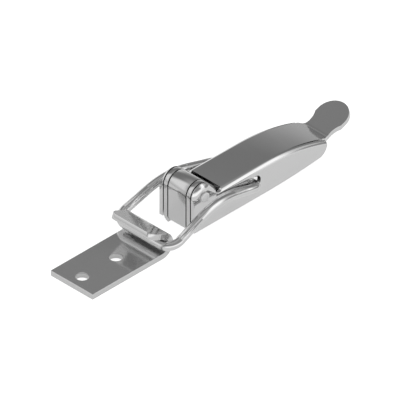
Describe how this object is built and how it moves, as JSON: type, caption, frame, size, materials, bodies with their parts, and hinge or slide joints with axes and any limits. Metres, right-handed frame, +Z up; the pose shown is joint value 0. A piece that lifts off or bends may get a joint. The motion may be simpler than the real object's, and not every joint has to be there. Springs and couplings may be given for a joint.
{
  "type": "over-centre draw latch",
  "caption": "Over-centre draw latch: channel lever with a round thumb tab on a riveted base, U-shaped wire bail and hooked strike plate, in polished steel.",
  "frame": {"origin": "on the mounting plane, midway between the two base screw holes", "axes": "+X along the latch from the strike towards the thumb tab, +Z up from the mounting plane, Y across the latch"},
  "size_m": [0.1168, 0.0264, 0.017],
  "materials": {
    "base_steel": "polished sheet",
    "rivet_steel": "polished, domed head",
    "lever_steel": "polished sheet",
    "wire_steel": "bright drawn wire",
    "strike_steel": "polished sheet"
  },
  "bodies": {
    "base": {"base": "base_steel", "pivot_rivet": "rivet_steel"},
    "lever": {"lever": "lever_steel"},
    "bail": {"bail": "wire_steel"},
    "strike": {"strike": "strike_steel"}
  },
  "joints": [
    {"name": "lever_pivot", "type": "hinge", "parent": "base", "child": "lever", "pos_m": [-0.022, 0, 0.0128], "axis": [0, -1, 0], "range_deg": [0, 85]},
    {"name": "bail_pivot", "type": "hinge", "parent": "lever", "child": "bail", "pos_m": [-0.00073, 0, 0.0069], "axis": [0, -1, 0], "range_deg": [-43, 0]},
    {"name": "strike_pivot", "type": "hinge", "parent": "bail", "child": "strike", "pos_m": [-0.0407, 0, 0.0045], "axis": [0, -1, 0], "range_deg": [-43, 0]}
  ],
  "couplings": [
    {"joint": "bail_pivot", "follows": "lever_pivot", "ratio": -0.5},
    {"joint": "strike_pivot", "follows": "lever_pivot", "ratio": -0.5}
  ]
}
